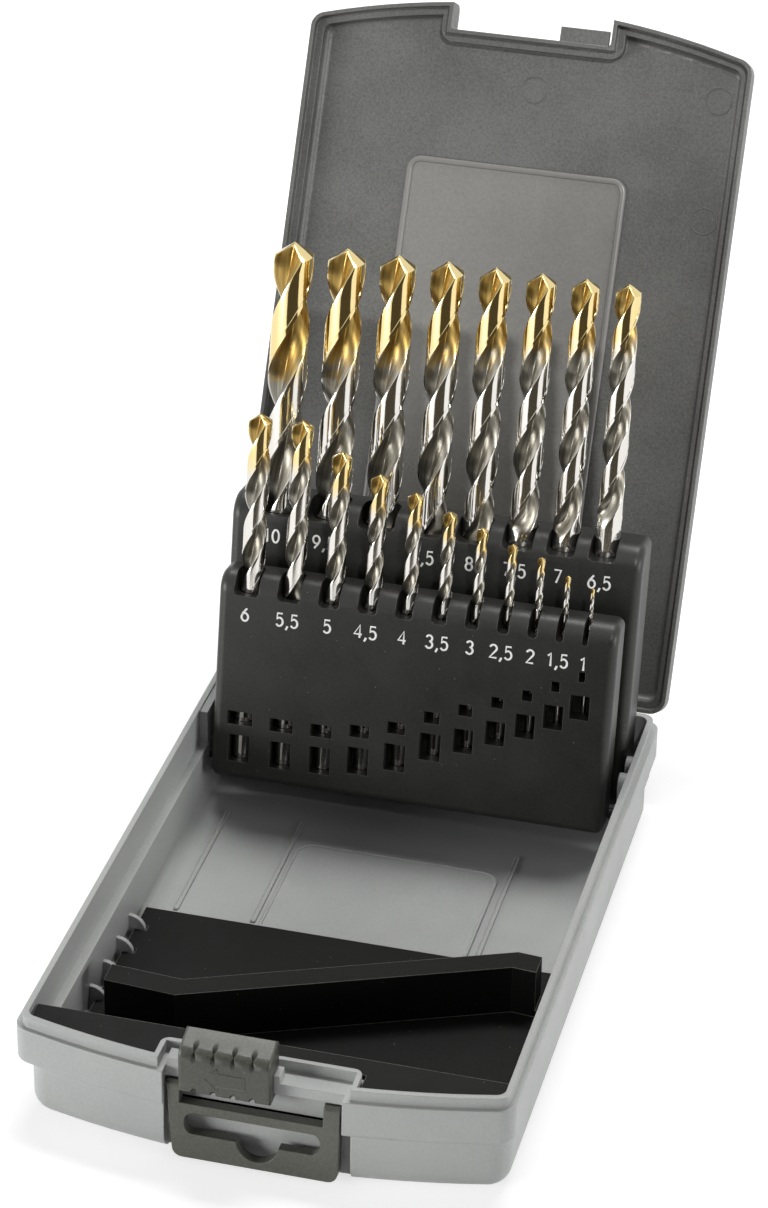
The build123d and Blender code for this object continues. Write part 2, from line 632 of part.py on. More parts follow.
def latch_slider():
    """The latch, which slides along the rail and over the lid's tab."""
    x0, x1 = LATCH_X
    profile = [
        (LATCH_FRONT_Y, LATCH_BOTTOM_Z),
        (LATCH_HOOK_Y, LATCH_BOTTOM_Z),
        (LATCH_HOOK_Y, RAIL_BOTTOM_Z - LATCH_GAP),
        (RAIL_FRONT_Y - LATCH_GAP, RAIL_BOTTOM_Z - LATCH_GAP),
        (RAIL_FRONT_Y - LATCH_GAP, BOSS_TOP_Z + 0.4),
        (LATCH_REAR_Y, BOSS_TOP_Z + 0.4),
        (LATCH_REAR_Y, LATCH_TOP_Z),
        (LATCH_FRONT_Y, LATCH_BEVEL_Z),
    ]
    section = make_face(Plane.YZ * Polyline(*profile, close=True))
    body = Pos(x0, 0, 0) * extrude(section, x1 - x0)
    front_edges = body.edges().filter_by_position(Axis.Y, LATCH_FRONT_Y - 0.01, LATCH_FRONT_Y + 0.01)
    body = fillet(front_edges.sort_by(Axis.Z)[-1], LATCH_BROW_R)
    outer = []
    for edge in body.edges():
        middle = edge.center()
        if edge.length > x1 - x0 - 0.1:
            at_front = middle.Y < LATCH_FRONT_Y + 0.1 and middle.Z < LATCH_BOTTOM_Z + 0.1
            if at_front or middle.Z > LATCH_TOP_Z - 0.1:
                outer.append(edge)
        elif middle.Y < LATCH_FRONT_Y + LATCH_BROW_R / 2 or middle.Z > LATCH_BEVEL_Z:
            outer.append(edge)
    body = fillet(outer, LATCH_EDGE_R)
    for x in GROOVES_X:
        for reach, z, turn in zip(GROOVE_REACH, (LATCH_BEVEL_Z, LATCH_BOTTOM_Z), (-45, 45)):
            middle_z = z + reach / 2 * (turn / 45)
            groove = Rot(turn, 0, 0) * Cylinder(GROOVE_R, 4 * LATCH_BROW_R)
            body -= Pos(x, LATCH_FRONT_Y + reach / 2, middle_z) * groove
    return body


def hanger_handle():
    """The hanging tab, modelled upright about its axis and then leaned."""
    half = HANGER_THICK / 2
    outline = make_face(Plane.XZ * Polyline(
        (HANGER_TOP_X[0], 0), (HANGER_FOOT_X[0], -HANGER_DROP),
        (HANGER_FOOT_X[1], -HANGER_DROP), (HANGER_TOP_X[1], 0), close=True,
    ))
    plate = Pos(0, half, 0) * extrude(outline, HANGER_THICK)
    plate = fillet(plate.edges().filter_by(Axis.Y).sort_by(Axis.Z)[:2], 2.4)
    plate += rod_x(*HANGER_TOP_X, 0, 0, half)
    plate -= block(*ARM_INNER_X, -9, 9, -CROSSBAR_DROP[0], 9)
    top, bottom = HANG_SLOT_DROP
    slot = block(*HANG_SLOT_X, -9, 9, -bottom, -top)
    slot = fillet(slot.edges().filter_by(Axis.Y), 2.2)
    hole_x, hole_drop, hole_r = HANG_HOLE
    slot += Pos(hole_x, 0, -hole_drop) * Rot(90, 0, 0) * Cylinder(hole_r, 18)
    plate -= slot
    pin = RECESS_HALF + 1.3
    plate += rod_x(-pin, HANGER_TOP_X[0] + 1, 0, 0, HANGER_PIN_R)
    plate += rod_x(HANGER_TOP_X[1] - 1, pin, 0, 0, HANGER_PIN_R)
    return Pos(0, *HANGER_AXIS) * Rot(-HANGER_LEAN, 0, 0) * plate


os.makedirs("parts", exist_ok=True)
PARTS = {
    "base_tub": base_tub(),
    "tip_tray": tip_tray(),
    "lid": lid(),
    "latch_slider": latch_slider(),
    "hanger_handle": hanger_handle(),
    "front_rack": front_rack(),
    "rear_rack": rear_rack(),
    **drills(),
}
for name, solid in PARTS.items():
    export_step(solid, f"parts/{name}.step")
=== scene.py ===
import json
import math

import bmesh
import bpy
from mathutils import Matrix, Vector

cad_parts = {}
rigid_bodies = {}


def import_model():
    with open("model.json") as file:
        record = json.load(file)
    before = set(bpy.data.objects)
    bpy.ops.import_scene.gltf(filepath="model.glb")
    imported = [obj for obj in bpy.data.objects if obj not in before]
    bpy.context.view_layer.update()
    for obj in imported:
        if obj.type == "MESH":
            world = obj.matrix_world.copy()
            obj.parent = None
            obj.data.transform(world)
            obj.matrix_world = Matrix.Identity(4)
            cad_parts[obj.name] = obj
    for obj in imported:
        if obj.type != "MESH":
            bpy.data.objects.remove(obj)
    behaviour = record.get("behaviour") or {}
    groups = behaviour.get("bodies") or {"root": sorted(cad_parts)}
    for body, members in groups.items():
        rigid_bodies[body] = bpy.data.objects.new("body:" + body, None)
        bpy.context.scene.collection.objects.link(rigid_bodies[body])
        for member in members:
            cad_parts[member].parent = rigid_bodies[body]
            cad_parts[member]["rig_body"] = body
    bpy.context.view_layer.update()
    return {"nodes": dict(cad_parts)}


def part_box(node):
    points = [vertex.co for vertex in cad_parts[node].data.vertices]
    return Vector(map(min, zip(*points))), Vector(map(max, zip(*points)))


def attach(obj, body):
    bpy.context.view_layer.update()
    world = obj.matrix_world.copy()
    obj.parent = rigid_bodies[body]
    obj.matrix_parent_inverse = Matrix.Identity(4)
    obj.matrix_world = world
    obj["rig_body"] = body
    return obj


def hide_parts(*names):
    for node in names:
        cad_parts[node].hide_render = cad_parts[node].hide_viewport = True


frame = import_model()
NODES = frame["nodes"]

# The case and everything on it is written in millimetres, which MM turns into the scene's
# metres. The table, the lamps, the screen and the camera are written in metres.
MM = 0.001

# A Mix node that blends colours has several sockets of one name, so they go by number:
# its factor and its two colours going in, and the blend coming out.
FACTOR = 0
FIRST_COLOUR = 6
SECOND_COLOUR = 7
BLEND = 2


# ---------------------------------------------------------------- small helpers

def paint(code):
    """A colour written as sRGB hex, turned to the linear values that a socket takes."""
    linear = []
    for at in (1, 3, 5):
        level = int(code[at:at + 2], 16) / 255
        if level <= 0.04045:
            linear.append(level / 12.92)
        else:
            linear.append(((level + 0.055) / 1.055) ** 2.4)
    return (*linear, 1.0)


def per_mm(size):
    """The scale of a pattern whose grains or waves are that many millimetres across."""
    return 1.0 / (size * MM)


def add(tree, kind, links=None, sockets=None, **settings):
    """Adds one node to a material, with its settings, its sockets' values and what feeds it."""
    node = tree.nodes.new(kind)
    for name, value in settings.items():
        setattr(node, name, value)
    for name, value in (sockets or {}).items():
        node.inputs[name].default_value = value
    for name, (source, output) in (links or {}).items():
        tree.links.new(source.outputs[output], node.inputs[name])
    return node


def new_finish(name):
    """A material with nothing in it yet, and its node tree."""
    finish = bpy.data.materials.new(name)
    finish.use_nodes = True
    finish.node_tree.nodes.clear()
    return finish, finish.node_tree


def as_mesh(name, shape):
    """Turns a shape that was built point by point into a mesh."""
    mesh = bpy.data.meshes.new(name)
    shape.to_mesh(mesh)
    shape.free()
    return mesh


def put_in_scene(name, data):
    """Makes an object of a mesh, a curve, a lamp or a camera."""
    made = bpy.data.objects.new(name, data)
    bpy.context.scene.collection.objects.link(made)
    return made


def draw_relief(name, lines, width, relief, place, finish, sides=2, closed=True):
    """Draws lines of points on a flat face as round bars of a width in millimetres, pressed
    down until they stand out by a share of half that width."""
    curve = bpy.data.curves.new(name, "CURVE")
    curve.dimensions = "3D"
    curve.bevel_depth = width / 2
    curve.bevel_resolution = sides
    curve.use_fill_caps = not closed
    for line in lines:
        spline = curve.splines.new("POLY")
        spline.points.add(len(line) - 1)
        for point, (x, y) in zip(spline.points, line):
            point.co = (x, y, 0, 1)
        spline.use_cyclic_u = closed
    curve.materials.append(finish)
    made = put_in_scene(name, curve)
    made.matrix_world = place @ Matrix.Diagonal((MM, MM, relief * MM, 1))
    return made


def bow(x, y, rx, ry, start, end):
    """Points on part of an ellipse, 15 degrees or less apart."""
    steps = max(4, round(abs(end - start) / 15))
    points = []
    for i in range(steps + 1):
        turn = math.radians(start + (end - start) * i / steps)
        points.append((x + rx * math.cos(turn), y + ry * math.sin(turn)))
    return points


def rounded_frame(x0, x1, y0, y1, corner):
    """Points round a rectangle with rounded corners."""
    outline = []
    for x, y, start in (
        (x1 - corner, y1 - corner, 0), (x0 + corner, y1 - corner, 90),
        (x0 + corner, y0 + corner, 180), (x1 - corner, y0 + corner, 270),
    ):
        outline += bow(x, y, corner, corner, start, start + 90)
    return outline


# ---------------------------------------------------------------- plastics

def moulded_plastic(name, shade, tint, rough, ior, shine_level, grain, depth, corner, edge_highlight):
    """An injection moulded plastic whose mould was spark eroded. To the eye that gives a fine
    even grain that breaks up the shine, clouds of slightly paler colour where the melt flowed,
    and edges rounded by the cutter that made the mould. The grain's size and depth and the
    corner's radius are in millimetres. The last setting is how pale the edges are painted:
    a painted highlight along every rounded edge, for the light lines that edges catch."""
    finish, tree = new_finish(name)
    place = add(tree, "ShaderNodeTexCoord")
    clouds = add(
        tree, "ShaderNodeTexNoise", {"Vector": (place, "Object")},
        {"Scale": per_mm(34.0), "Detail": 3.0, "Roughness": 0.55},
    )
    # The pits that the sparks leave are under a tenth of a millimetre across. They are drawn
    # five to eight times as coarse, so that they show.
    erosion = add(
        tree, "ShaderNodeTexNoise", {"Vector": (place, "Object")},
        {"Scale": per_mm(grain), "Detail": 2.0, "Roughness": 0.6},
    )
    both = add(tree, "ShaderNodeMath", {0: (clouds, "Fac"), 1: (erosion, "Fac")}, operation="ADD")
    mottle = add(
        tree, "ShaderNodeMapRange", {"Value": (both, "Value")},
        {"From Min": 0.75, "From Max": 1.25, "To Min": 0.0, "To Max": 1.0},
    )
    colour = add(
        tree, "ShaderNodeMix", {FACTOR: (mottle, "Result")},
        {FIRST_COLOUR: paint(shade), SECOND_COLOUR: paint(tint)}, data_type="RGBA",
    )
    # Dust lies on every moulding: specks a quarter of a millimetre across, some 3 mm apart.
    dust = add(tree, "ShaderNodeTexVoronoi", {"Vector": (place, "Object")}, {"Scale": per_mm(3.2)})
    speck = add(
        tree, "ShaderNodeMapRange", {"Value": (dust, "Distance")},
        {"From Min": 0.03, "From Max": 0.05, "To Min": 0.3, "To Max": 0.0},
    )
    colour = add(
        tree, "ShaderNodeMix", {FACTOR: (speck, "Result"), FIRST_COLOUR: (colour, BLEND)},
        {SECOND_COLOUR: paint("#B4B2AC")}, data_type="RGBA",
    )
    # Fingers leave dull and shiny patches about as wide as a finger tip.
    handling = add(
        tree, "ShaderNodeTexNoise", {"Vector": (place, "Object")},
        {"Scale": per_mm(9.0), "Detail": 5.0, "Roughness": 0.65},
    )
    shine = add(
        tree, "ShaderNodeMapRange", {"Value": (handling, "Fac")},
        {"From Min": 0.3, "From Max": 0.7, "To Min": rough - 0.04, "To Max": rough + 0.05},
    )
    rounded = add(tree, "ShaderNodeBevel", sockets={"Radius": corner * MM}, samples=6)
    # Painted highlight: edges, where the rounded normal leaves the plain one, are painted paler.
    plain = add(tree, "ShaderNodeNewGeometry")
    turned = add(
        tree, "ShaderNodeVectorMath", {0: (rounded, "Normal"), 1: (plain, "Normal")},
        operation="DOT_PRODUCT",
    )
    edge = add(
        tree, "ShaderNodeMapRange", {"Value": (turned, "Value")},
        {"From Min": 0.97, "From Max": 0.80, "To Min": 0.0, "To Max": edge_highlight},
    )
    colour = add(
        tree, "ShaderNodeMix", {FACTOR: (edge, "Result"), FIRST_COLOUR: (colour, BLEND)},
        {SECOND_COLOUR: paint("#C9C8C2")}, data_type="RGBA",
    )
    relief = add(
        tree, "ShaderNodeBump", {"Height": (erosion, "Fac"), "Normal": (rounded, "Normal")},
        {"Strength": 0.35, "Distance": depth * MM},
    )
    body = add(
        tree, "ShaderNodeBsdfPrincipled",
        {"Base Color": (colour, BLEND), "Roughness": (shine, "Result"),
         "Normal": (relief, "Normal")},
        {"IOR": ior, "Specular IOR Level": shine_level},
    )
    add(tree, "ShaderNodeOutputMaterial", {"Surface": (body, "BSDF")})
    return finish


# Polypropylene copolymer, the usual material of a case with hinges: satin, never glossy.
light_grey_polypropylene = moulded_plastic(
    "light_grey_polypropylene", "#A9ABAA", "#B4B6B4", rough=0.42, ior=1.49, shine_level=0.5,
    grain=0.55, depth=0.05, corner=0.4, edge_highlight=0.6)
# The same polymer with more pigment for the lid, from a slightly coarser mould.
dark_grey_polypropylene = moulded_plastic(
    "dark_grey_polypropylene", "#424240", "#5D5D5B", rough=0.42, ior=1.49, shine_level=0.5,
    grain=0.6, depth=0.06, corner=0.35, edge_highlight=0.12)
# The lid's raised panel left the mould polished, so it is less rough; its paler colour is a
# painted sheen, for the extra light that it takes from the room.
polished_panel_painted_sheen = moulded_plastic(
    "polished_panel_painted_sheen", "#6D6C69", "#797875", rough=0.30, ior=1.49, shine_level=0.5,
    grain=0.8, depth=0.02, corner=0.3, edge_highlight=0.12)
# Polystyrene coloured through with carbon black: harder and a little glossier.
black_polystyrene = moulded_plastic(
    "black_polystyrene", "#1B1B19", "#2A2A28", rough=0.40, ior=1.59, shine_level=0.32,
    grain=0.5, depth=0.04, corner=0.35, edge_highlight=0.06)
# Thin black polystyrene of the tip tray, from a coarse matt mould that takes the shine away.
matt_black_polystyrene = moulded_plastic(
    "matt_black_polystyrene", "#0C0C0B", "#171716", rough=0.55, ior=1.59, shine_level=0.08,
    grain=0.5, depth=0.06, corner=0.3, edge_highlight=0.6)
# Glass filled nylon, for the hanging tab and the latch that take the wear: olive grey and
# dry. Tab and latch are one plastic; the tab's copy is painted paler than the latch's, as
# painted light for how differently the two are lit.
olive_grey_nylon_painted_paler = moulded_plastic(
    "olive_grey_nylon_painted_paler", "#474840", "#5C5D55", rough=0.40, ior=1.53, shine_level=0.5,
    grain=0.6, depth=0.05, corner=0.35, edge_highlight=0.08)
olive_grey_nylon = moulded_plastic(
    "olive_grey_nylon", "#393A33", "#4E4F47", rough=0.40, ior=1.53, shine_level=0.5,
    grain=0.6, depth=0.05, corner=0.35, edge_highlight=0.08)


# ---------------------------------------------------------------- steel and ink

def ground_steel():
    """High speed steel, ground bright: mirror-like lands, satin flutes with fine marks along
    them, and a gold titanium nitride point that fades into the bare steel. The flutes, gold and
    bare, are painted much darker than the lands: painted shade for the dim light their hollows
    reflect. A drill's mesh says how far from the tip, how deep in a flute and where in the
    section each of its points is."""
    finish, tree = new_finish("ground_high_speed_steel")
    place = add(tree, "ShaderNodeTexCoord")
    along = add(tree, "ShaderNodeAttribute", attribute_name="from_tip")
    fluted = add(tree, "ShaderNodeAttribute", attribute_name="flute")
    # The coating's lower edge drifts in waves of about 3 mm.
    smoke = add(
        tree, "ShaderNodeTexNoise", {"Vector": (place, "Object")},
        {"Scale": per_mm(3.0), "Detail": 3.0},
    )
    drift = add(
        tree, "ShaderNodeMath", {0: (smoke, "Fac"), 2: (along, "Fac")}, {1: 0.7},
        operation="MULTIPLY_ADD",
    )
    gold_edge = add(
        tree, "ShaderNodeMapRange", {"Value": (drift, "Value")},
        {"From Min": 1.16, "From Max": 1.54, "To Min": 0.0, "To Max": 1.0},
        interpolation_type="SMOOTHSTEP",
    )
    # The wheel that cuts a flute draws streaks along it, about half a millimetre wide.
    section = add(tree, "ShaderNodeAttribute", attribute_name="section")
    streaks = add(
        tree, "ShaderNodeTexNoise", {"Vector": (section, "Vector")},
        {"Scale": per_mm(0.9), "Detail": 3.0, "Roughness": 0.6},
    )
    streak = add(
        tree, "ShaderNodeMapRange", {"Value": (streaks, "Fac")},
        {"From Min": 0.3, "From Max": 0.7, "To Min": 0.0, "To Max": 1.0},
    )
    # Painted shade: the flutes' colours are far darker than the lands', for their dim reflections.
    gold_flute_painted_shade = add(
        tree, "ShaderNodeMix", {FACTOR: (streak, "Result")},
        {FIRST_COLOUR: paint("#7B632F"), SECOND_COLOUR: paint("#B4985A")}, data_type="RGBA",
    )
    gold = add(
        tree, "ShaderNodeMix", {FACTOR: (fluted, "Fac"), SECOND_COLOUR: (gold_flute_painted_shade, BLEND)},
        {FIRST_COLOUR: paint("#E9D49A")}, data_type="RGBA",
    )
    steel_flute_painted_shade = add(
        tree, "ShaderNodeMix", {FACTOR: (streak, "Result")},
        {FIRST_COLOUR: paint("#5E5A50"), SECOND_COLOUR: paint("#9A968B")}, data_type="RGBA",
    )
    steel = add(
        tree, "ShaderNodeMix", {FACTOR: (fluted, "Fac"), SECOND_COLOUR: (steel_flute_painted_shade, BLEND)},
        {FIRST_COLOUR: paint("#DEDBD5")}, data_type="RGBA",
    )
    colour = add(
        tree, "ShaderNodeMix",
        {FACTOR: (gold_edge, "Result"), FIRST_COLOUR: (gold, BLEND),
         SECOND_COLOUR: (steel, BLEND)},
        data_type="RGBA",
    )
    # Grinding leaves rings about a tenth of a millimetre apart, drawn three times as coarse.
    stretch = add(
        tree, "ShaderNodeMapping", {"Vector": (place, "Object")}, {"Scale": (0.15, 0.15, 1.0)}
    )
    rings = add(
        tree, "ShaderNodeTexNoise", {"Vector": (stretch, "Vector")},
        {"Scale": per_mm(0.3), "Detail": 2.0},
    )
    marks = add(
        tree, "ShaderNodeBump", {"Height": (rings, "Fac")},
        {"Strength": 0.25, "Distance": 0.004 * MM},
    )
    dull = add(
        tree, "ShaderNodeMapRange", {"Value": (fluted, "Fac")},
        {"From Min": 0.0, "From Max": 1.0, "To Min": 0.10, "To Max": 0.35},
    )
    body = add(
        tree, "ShaderNodeBsdfPrincipled",
        {"Base Color": (colour, BLEND), "Roughness": (dull, "Result"),
         "Normal": (marks, "Normal")},
        {"Metallic": 1.0},
    )
    add(tree, "ShaderNodeOutputMaterial", {"Surface": (body, "BSDF")})
    return finish


def pad_print_white():
    """White two-part pad printing ink, a thin film with a slight shine. It is a shade greyer
    where it lies thin, in spots of about a millimetre."""
    finish, tree = new_finish("white_pad_printing_ink")
    place = add(tree, "ShaderNodeTexCoord")
    cover = add(
        tree, "ShaderNodeTexNoise", {"Vector": (place, "Object")},
        {"Scale": per_mm(0.8), "Detail": 2.0},
    )
    colour = add(
        tree, "ShaderNodeMix", {FACTOR: (cover, "Fac")},
        {FIRST_COLOUR: paint("#E4E4E0"), SECOND_COLOUR: paint("#F4F4F1")}, data_type="RGBA",
    )
    body = add(
        tree, "ShaderNodeBsdfPrincipled", {"Base Color": (colour, BLEND)},
        {"Roughness": 0.45, "IOR": 1.5},
    )
    add(tree, "ShaderNodeOutputMaterial", {"Surface": (body, "BSDF")})
    return finish


high_speed_steel = ground_steel()
white_ink = pad_print_white()


# ---------------------------------------------------------------- the moulded parts

LID_OPEN = 117.85              # degrees that the lid stands open
LID_AXIS = Vector((0, 86.85, 22.55)) * MM
# The lid's raised panel and the marks on the lid's inside, as they lie with the lid shut.
LID_PANEL = (-28.6, 28.6, -50.3, 62.0)
LID_PANEL_LEVELS = (30.2, 30.6)
LID_PANEL_BEAD = 30.42         # the height of the bead's middle, just proud of the panel
LID_ROOF = 30.8
EJECTOR_PINS = ((50.0, -73.8), (50.4, -42.9), (1.7, -71.3))
EJECTOR_RADIUS = 3.4
# The panel and the stiffening lines moulded on the floor, and how high they stand.
FLOOR_PANEL = (-24.0, 27.8, -4.0, 36.5)
FLOOR_PANEL_TOP = 2.6
FLOOR_LINES = (-46.0, -26.2, 30.6)
FLOOR_LINE_ENDS = (0.4, 45.8)
FLOOR_LINE_TOP = 2.55
BEAD_RELIEF = 0.6              # how much of half its width a bead or the arrow stands out


def finish_moulding(name, finish):
    """Gives a moulded part its plastic, in every slot that its mesh has."""
    mesh = NODES[name].data
    mesh.materials.clear()
    mesh.materials.append(finish)
    mesh.polygons.foreach_set("material_index", [0] * len(mesh.polygons))
    return mesh


def polish_lid_panel_and_paint_sheen(mesh):
    """Puts the polished finish, with its paler painted sheen, on the raised panel, found with
    the lid turned shut again.
    """
    mesh.materials.append(polished_panel_painted_sheen)
    shut = Matrix.Rotation(math.radians(LID_OPEN), 4, "X")
    spare = 0.1
    left, right, front, back = LID_PANEL
    low, high = LID_PANEL_LEVELS
    for face in mesh.polygons:
        middle = (shut @ (face.center - LID_AXIS) + LID_AXIS) / MM
        across = left - spare < middle.x < right + spare
        along = front - spare < middle.y < back + spare
        if across and along and low < middle.z < high:
            face.material_index = 1


def mould_bead(name, outline, width, place, finish, node):
    """A fine closed bead moulded on a flat face of a part."""
    bead = draw_relief(name, [outline], width, BEAD_RELIEF, place, finish)
    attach(bead, NODES[node]["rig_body"])


def mark_lid():
    """The bead that frames the lid's panel, and the rings that the ejector pins left."""
    swing = Matrix.Translation(LID_AXIS) @ Matrix.Rotation(math.radians(-LID_OPEN), 4, "X")
    from_shut = swing @ Matrix.Translation(-LID_AXIS)
    at_panel = from_shut @ Matrix.Translation((0, 0, LID_PANEL_BEAD * MM))
    # The bead takes the panel's paler finish: a painted highlight along the bead.
    mould_bead(
        "panel_bead", rounded_frame(*LID_PANEL, 3.0), 1.7, at_panel,
        polished_panel_painted_sheen, "lid")
    at_roof = from_shut @ Matrix.Translation((0, 0, LID_ROOF * MM))
    for number, (x, y) in enumerate(EJECTOR_PINS, 1):
        mould_bead(
            f"ejector_ring_{number}", bow(x, y, EJECTOR_RADIUS, EJECTOR_RADIUS, 0, 345), 0.4,
            at_roof, dark_grey_polypropylene, "lid")


def mark_floor():
    """The fine beads along the floor's panel and its three stiffening lines."""
    at_panel = Matrix.Translation((0, 0, FLOOR_PANEL_TOP * MM))
    mould_bead(
        "floor_panel_bead", rounded_frame(*FLOOR_PANEL, 4.0), 0.9, at_panel,
        light_grey_polypropylene, "base_tub")
    at_line = Matrix.Translation((0, 0, FLOOR_LINE_TOP * MM))
    for number, x in enumerate(FLOOR_LINES, 1):
        mould_bead(
            f"floor_line_{number}", rounded_frame(x - 0.5, x + 0.5, *FLOOR_LINE_ENDS, 0.3), 0.4,
            at_line, light_grey_polypropylene, "base_tub")


finish_moulding("base_tub", light_grey_polypropylene)
polish_lid_panel_and_paint_sheen(finish_moulding("lid", dark_grey_polypropylene))
mark_lid()
mark_floor()
finish_moulding("tip_tray", matt_black_polystyrene)
finish_moulding("front_rack", black_polystyrene)
finish_moulding("rear_rack", black_polystyrene)
finish_moulding("hanger_handle", olive_grey_nylon_painted_paler)


# ---------------------------------------------------------------- latch

LATCH_ENDS = (-17.0, 4.5)
LATCH_FACE = -92.0
LATCH_FOOT = 19.9
LATCH_BROW = 31.2
LATCH_TOP = 33.4
# The latch's section, y and z, from its front foot round the hook and the boss to its top.
LATCH_SECTION = (
    (LATCH_FACE, LATCH_FOOT), (-87.2, LATCH_FOOT), (-87.2, 21.0), (-88.6, 21.0),
    (-88.6, 26.4), (-84.5, 26.4), (-84.5, LATCH_TOP), (LATCH_FACE, LATCH_BROW),
)
BROW_RADIUS = 2.0
EDGE_RADIUS = 0.8
TOP_START = 29.0               # above this, the edges of the latch's two ends are its top's
NEAR = 0.01                    # how far off a point may be and still count as on a face
GRIP_GROOVES = (-13.3, -8.8, -4.2, 0.3)
GROOVE_RADIUS = 0.68
# The height of the edge that a row of grooves cuts, their reach from it along both faces,
# and whether they lie below that edge or above it.
GROOVE_ROWS = ((LATCH_BROW, 1.9, -1), (LATCH_FOOT, 0.8, 1))
ARROW_MIDDLE = (-3.6, LATCH_FACE, 24.9)
ARROW = (
    (2.2, 1.7), (-4.2, 1.7), (-4.2, 3.0), (-7.4, 0.0), (-4.2, -3.0), (-4.2, -1.7), (2.2, -1.7))


def extruded(section, start, end):
    """A bar along X with the given section."""
    shape = bmesh.new()
    left = [shape.verts.new((start * MM, y * MM, z * MM)) for y, z in section]
    right = [shape.verts.new((end * MM, y * MM, z * MM)) for y, z in section]
    shape.faces.new(left)
    shape.faces.new(list(reversed(right)))
    for i in range(len(section)):
        j = (i + 1) % len(section)
        shape.faces.new((left[j], left[i], right[i], right[j]))
    bmesh.ops.recalc_face_normals(shape, faces=shape.faces)
    return shape


def round_edges(shape, radius, steps, chosen):
    """Rounds the edges whose two ends pass a test."""
    edges = [edge for edge in shape.edges if chosen(edge.verts[0].co / MM, edge.verts[1].co / MM)]
    bmesh.ops.bevel(
        shape, geom=edges, offset=radius * MM, segments=steps, profile=0.5, affect="EDGES",
        clamp_overlap=False)


def on_face(a, b):
    """Whether an edge lies in the latch's front face."""
    return abs(a.y - LATCH_FACE) < NEAR and abs(b.y - LATCH_FACE) < NEAR


def on_brow(a, b):
    """Whether an edge is the latch's brow, where its face meets its sloping top."""
    return on_face(a, b) and min(a.z, b.z) > LATCH_BROW - NEAR


def outer_edge(a, b):
    """The edges round the latch's face, its rounded brow and its sloping top."""
    front = max(a.y, b.y) < LATCH_FACE + BROW_RADIUS + 0.05
    top = min(a.z, b.z) > TOP_START
    across = abs(a.x - b.x) > NEAR
    side = not across and (front or top)
    foot = across and on_face(a, b) and max(a.z, b.z) < LATCH_FOOT + NEAR
    rear = across and min(a.z, b.z) > LATCH_TOP - NEAR
    return side or foot or rear


def grip_cutter():
    """Round bars laid across the latch's two front edges, to cut the finger grooves."""
    shape = bmesh.new()
    for x in GRIP_GROOVES:
        for z, reach, side in GROOVE_ROWS:
            middle = Vector((x, LATCH_FACE + reach / 2, z + side * reach / 2)) * MM
            slant = Matrix.Rotation(math.radians(45 * side), 4, "X")
            bmesh.ops.create_cone(
                shape, cap_ends=True, segments=24, radius1=GROOVE_RADIUS * MM,
                radius2=GROOVE_RADIUS * MM, depth=9 * MM,
                matrix=Matrix.Translation(middle) @ slant)
    return shape


def make_latch():
    """The latch with its rounded brow and edges and its two rows of finger grooves."""
    shape = extruded(LATCH_SECTION, *LATCH_ENDS)
    round_edges(shape, BROW_RADIUS, steps=6, chosen=on_brow)
    round_edges(shape, EDGE_RADIUS, steps=3, chosen=outer_edge)
    latch = put_in_scene("latch_body", as_mesh("latch_body", shape))
    cutter = put_in_scene("grip_cutter", as_mesh("grip_cutter", grip_cutter()))
    for piece in (latch, cutter):
        piece.data.polygons.foreach_set("use_smooth", [True] * len(piece.data.polygons))
    carve = latch.modifiers.new("grooves", "BOOLEAN")
    carve.operation = "DIFFERENCE"
    carve.object = cutter
    carve.solver = "EXACT"
    even = latch.modifiers.new("even_shading", "WEIGHTED_NORMAL")
    even.keep_sharp = True
    bpy.context.view_layer.update()
    carved = bpy.data.meshes.new_from_object(
        latch.evaluated_get(bpy.context.evaluated_depsgraph_get()))
    latch.modifiers.clear()
    latch.data = carved
    bpy.data.objects.remove(cutter)
    carved.materials.clear()
    carved.materials.append(olive_grey_nylon)
    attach(latch, NODES["latch_slider"]["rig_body"])
    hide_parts("latch_slider")


def emboss_arrow():
    """A plain arrow in relief on the latch's face, which shows the way it slides."""
    stand = Matrix.Rotation(math.radians(90), 4, "X")
    place = Matrix.Translation(Vector(ARROW_MIDDLE) * MM) @ stand
    arrow = draw_relief("arrow_relief", [ARROW], 0.44, BEAD_RELIEF, place, olive_grey_nylon)
    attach(arrow, NODES["latch_slider"]["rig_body"])


make_latch()
emboss_arrow()


# ---------------------------------------------------------------- racks: where things stand

LEAN = 9.93                    # degrees that both racks lean back
# Where the line of the drills' middles meets the rack's foot, how far out from it the rack's
# front face is, and how far up that face the numbers stand.
LOW_RACK = {"body": "low_rack", "foot": (52.54, 10.62), "face": -5.5, "numbers": 43.8}
TALL_RACK = {"body": "tall_rack", "foot": (69.9, 9.3), "face": -7.2, "numbers": 58.3}
# Diameter, height of the foot in the rack, length and fluted length of every drill.
LOW_DRILLS = (
    (6.0, 4.3, 93.0, 57.0), (5.5, 4.0, 93.0, 57.0), (5.0, 4.3, 86.0, 52.0),
    (4.5, 5.8, 80.0, 47.0), (4.0, 8.3, 74.0, 43.0), (3.5, 12.6, 66.0, 37.5),
    (3.0, 16.0, 59.5, 33.0), (2.5, 19.4, 53.0, 28.5), (2.0, 22.5, 47.5, 23.5),
    (1.5, 26.1, 40.0, 18.0), (1.0, 29.7, 34.0, 12.0),
)
TALL_DRILLS = (
    (10.0, 2.6, 133.0, 87.0), (9.5, 10.6, 125.0, 81.0), (9.0, 10.6, 125.0, 81.0),
    (8.5, 18.6, 117.0, 75.0), (8.0, 18.6, 117.0, 75.0), (7.5, 26.6, 109.0, 69.0),
    (7.0, 26.6, 109.0, 69.0), (6.5, 34.6, 101.0, 63.0),
)


